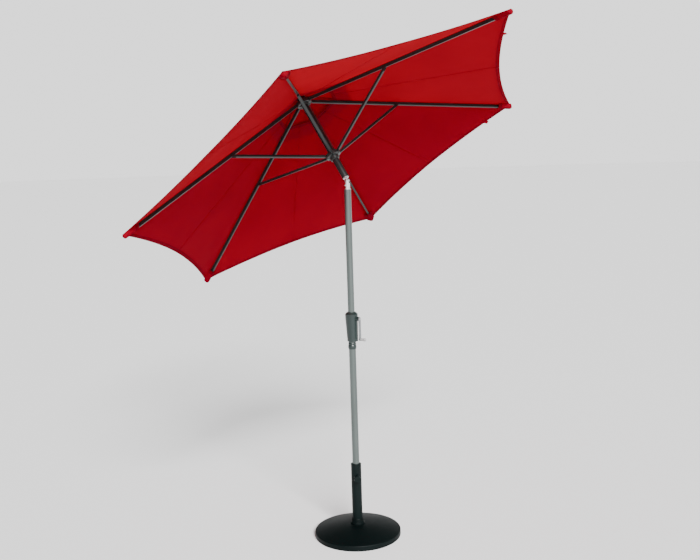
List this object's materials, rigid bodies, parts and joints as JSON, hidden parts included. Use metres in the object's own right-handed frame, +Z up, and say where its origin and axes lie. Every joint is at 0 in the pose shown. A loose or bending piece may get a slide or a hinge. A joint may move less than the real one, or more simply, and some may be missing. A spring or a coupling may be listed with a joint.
{
  "type": "patio umbrella with base",
  "caption": "Tilting six-rib patio umbrella with a vented fabric canopy, crank-lift mast and clamp knob, standing in a round weighted base.",
  "frame": {"origin": "centre of the base's underside, on the floor", "axes": "+Z up along the mast, the tilt hinge along Y, the canopy leaning towards -X, the crank on +X"},
  "size_m": [1.9895, 2.1376, 2.7004],
  "materials": {
    "black_resin": "hammered",
    "concrete": "cast",
    "black_steel": "powder coat",
    "grey_steel": "metallic powder coat",
    "dark_steel": "powder coat",
    "black_plastic": "moulded",
    "case_plastic": "moulded",
    "white_nylon": "moulded",
    "bright_metal": "polished",
    "zinc_steel": "zinc plated",
    "arm_metal": "satin",
    "grip_grey": "moulded",
    "red_cloth": "woven polyester",
    "cord_black": "braided"
  },
  "bodies": {
    "base": {"base_pad": "black_plastic", "base_shell": "black_resin", "base_ballast": "concrete", "base_tube": "black_steel", "tube_skirt": "black_plastic", "tube_bushes": "black_plastic", "clamp_nut": "black_steel"},
    "clamp_knob": {"clamp_knob": "black_plastic"},
    "mast": {"lower_mast": "grey_steel", "mast_sleeve": "case_plastic", "middle_mast": "grey_steel", "housing_front": "case_plastic", "housing_rear": "case_plastic", "housing_screws": "zinc_steel", "shaft_bushes": "white_nylon", "tilt_knuckle": "bright_metal", "tilt_pin": "zinc_steel", "button_spring": "zinc_steel", "lift_cord_mast": "cord_black"},
    "crank": {"crank_shaft": "zinc_steel", "cord_drum": "white_nylon", "crank_arm": "arm_metal"},
    "crank_knob": {"crank_knob": "grip_grey"},
    "tilt_button": {"tilt_button": "zinc_steel"},
    "upper_pole": {"tilt_yoke": "bright_metal", "upper_pole": "dark_steel", "hub": "black_plastic", "hub_pins": "zinc_steel", "pulley_pin": "zinc_steel", "finial": "black_plastic", "vent_cap": "red_cloth", "lift_cord_pole": "cord_black", "lift_cord_fall": "cord_black"},
    "pulley": {"pulley": "white_nylon"},
    "runner": {"runner": "black_plastic", "runner_pins": "zinc_steel"},
    "rib_1": {"rib_1": "dark_steel", "rib_tip_1": "black_plastic", "gore_1": "red_cloth"},
    "strut_1": {"strut_1": "dark_steel"},
    "rib_2": {"rib_2": "dark_steel", "rib_tip_2": "black_plastic", "gore_2": "red_cloth"},
    "strut_2": {"strut_2": "dark_steel"},
    "rib_3": {"rib_3": "dark_steel", "rib_tip_3": "black_plastic", "gore_3": "red_cloth"},
    "strut_3": {"strut_3": "dark_steel"},
    "rib_4": {"rib_4": "dark_steel", "rib_tip_4": "black_plastic", "gore_4": "red_cloth"},
    "strut_4": {"strut_4": "dark_steel"},
    "rib_5": {"rib_5": "dark_steel", "rib_tip_5": "black_plastic", "gore_5": "red_cloth"},
    "strut_5": {"strut_5": "dark_steel"},
    "rib_6": {"rib_6": "dark_steel", "rib_tip_6": "black_plastic", "gore_6": "red_cloth"},
    "strut_6": {"strut_6": "dark_steel"}
  },
  "joints": [
    {"name": "mast_turn", "type": "hinge", "parent": "base", "child": "mast", "pos_m": [0, 0, 0.3], "axis": [0, 0, 1], "continuous": true},
    {"name": "clamp_turn", "type": "hinge", "parent": "base", "child": "clamp_knob", "pos_m": [0, 0, 0.33], "axis": [0.7071, -0.7071, 0], "range_deg": [0, 720]},
    {"name": "crank_turn", "type": "hinge", "parent": "mast", "child": "crank", "pos_m": [0, 0, 1.206], "axis": [1, 0, 0], "range_deg": [0, 573.5]},
    {"name": "crank_knob_spin", "type": "hinge", "parent": "crank", "child": "crank_knob", "pos_m": [0.06, 0, 1.096], "axis": [1, 0, 0], "continuous": true},
    {"name": "button_press", "type": "slide", "parent": "mast", "child": "tilt_button", "axis": [0, 1, 0], "range_m": [0, 0.0025], "stiffness_N_per_m": 600, "deforming": ["button_spring"]},
    {"name": "canopy_tilt", "type": "hinge", "parent": "mast", "child": "upper_pole", "pos_m": [-0.006, 0, 1.938], "axis": [0, -1, 0], "range_deg": [-34, 0]},
    {"name": "runner_slide", "type": "slide", "parent": "upper_pole", "child": "runner", "axis": [0.5592, 0, -0.829], "range_m": [0, 0.105]},
    {"name": "pulley_spin", "type": "hinge", "parent": "upper_pole", "child": "pulley", "pos_m": [-0.28408, 0.00731, 2.38129], "axis": [-0.4491, 0.8406, -0.3029], "range_deg": [0, 754]},
    {"name": "rib_1_fold", "type": "hinge", "parent": "upper_pole", "child": "rib_1", "pos_m": [-0.25247, 0.00166, 2.37486], "axis": [-0.0405, 0.9988, -0.0273], "range_deg": [0, 6.57]},
    {"name": "strut_1_fold", "type": "hinge", "parent": "rib_1", "child": "strut_1", "pos_m": [0.24862, 0.02562, 2.5079], "axis": [-0.0405, 0.9988, -0.0273], "range_deg": [-13.13, 0]},
    {"name": "rib_2_fold", "type": "hinge", "parent": "upper_pole", "child": "rib_2", "pos_m": [-0.26774, 0.03024, 2.36456], "axis": [-0.7374, 0.4571, -0.4974], "range_deg": [0, 6.57]},
    {"name": "strut_2_fold", "type": "hinge", "parent": "rib_2", "child": "strut_2", "pos_m": [0.01311, 0.46641, 2.34905], "axis": [-0.7374, 0.4571, -0.4974], "range_deg": [-13.13, 0]},
    {"name": "rib_3_fold", "type": "hinge", "parent": "upper_pole", "child": "rib_3", "pos_m": [-0.29589, 0.02858, 2.34558], "axis": [-0.6969, -0.5417, -0.47], "range_deg": [0, 6.57]},
    {"name": "strut_3_fold", "type": "hinge", "parent": "rib_3", "child": "strut_3", "pos_m": [-0.42111, 0.44079, 2.05616], "axis": [-0.6969, -0.5417, -0.47], "range_deg": [-13.13, 0]},
    {"name": "rib_4_fold", "type": "hinge", "parent": "upper_pole", "child": "rib_4", "pos_m": [-0.30878, -0.00166, 2.33688], "axis": [0.0405, -0.9988, 0.0273], "range_deg": [0, 6.57]},
    {"name": "strut_4_fold", "type": "hinge", "parent": "rib_4", "child": "strut_4", "pos_m": [-0.61983, -0.02562, 1.92212], "axis": [0.0405, -0.9988, 0.0273], "range_deg": [-13.13, 0]},
    {"name": "rib_5_fold", "type": "hinge", "parent": "upper_pole", "child": "rib_5", "pos_m": [-0.29351, -0.03024, 2.34718], "axis": [0.7374, -0.4571, 0.4974], "range_deg": [0, 6.57]},
    {"name": "strut_5_fold", "type": "hinge", "parent": "rib_5", "child": "strut_5", "pos_m": [-0.38433, -0.46641, 2.08097], "axis": [0.7374, -0.4571, 0.4974], "range_deg": [-13.13, 0]},
    {"name": "rib_6_fold", "type": "hinge", "parent": "upper_pole", "child": "rib_6", "pos_m": [-0.26535, -0.02858, 2.36617], "axis": [0.6969, 0.5417, 0.47], "range_deg": [0, 6.57]},
    {"name": "strut_6_fold", "type": "hinge", "parent": "rib_6", "child": "strut_6", "pos_m": [0.0499, -0.44079, 2.37386], "axis": [0.6969, 0.5417, 0.47], "range_deg": [-13.13, 0]}
  ],
  "couplings": [
    {"joint": "crank_turn", "follows": "runner_slide", "rad_per_m": 95},
    {"joint": "pulley_spin", "follows": "runner_slide", "rad_per_m": 125},
    {"joint": "rib_1_fold", "follows": "runner_slide", "rad_per_m": 1.0414},
    {"joint": "strut_1_fold", "follows": "runner_slide", "rad_per_m": -2.0827},
    {"joint": "rib_2_fold", "follows": "runner_slide", "rad_per_m": 1.0414},
    {"joint": "strut_2_fold", "follows": "runner_slide", "rad_per_m": -2.0827},
    {"joint": "rib_3_fold", "follows": "runner_slide", "rad_per_m": 1.0414},
    {"joint": "strut_3_fold", "follows": "runner_slide", "rad_per_m": -2.0827},
    {"joint": "rib_4_fold", "follows": "runner_slide", "rad_per_m": 1.0414},
    {"joint": "strut_4_fold", "follows": "runner_slide", "rad_per_m": -2.0827},
    {"joint": "rib_5_fold", "follows": "runner_slide", "rad_per_m": 1.0414},
    {"joint": "strut_5_fold", "follows": "runner_slide", "rad_per_m": -2.0827},
    {"joint": "rib_6_fold", "follows": "runner_slide", "rad_per_m": 1.0414},
    {"joint": "strut_6_fold", "follows": "runner_slide", "rad_per_m": -2.0827}
  ]
}
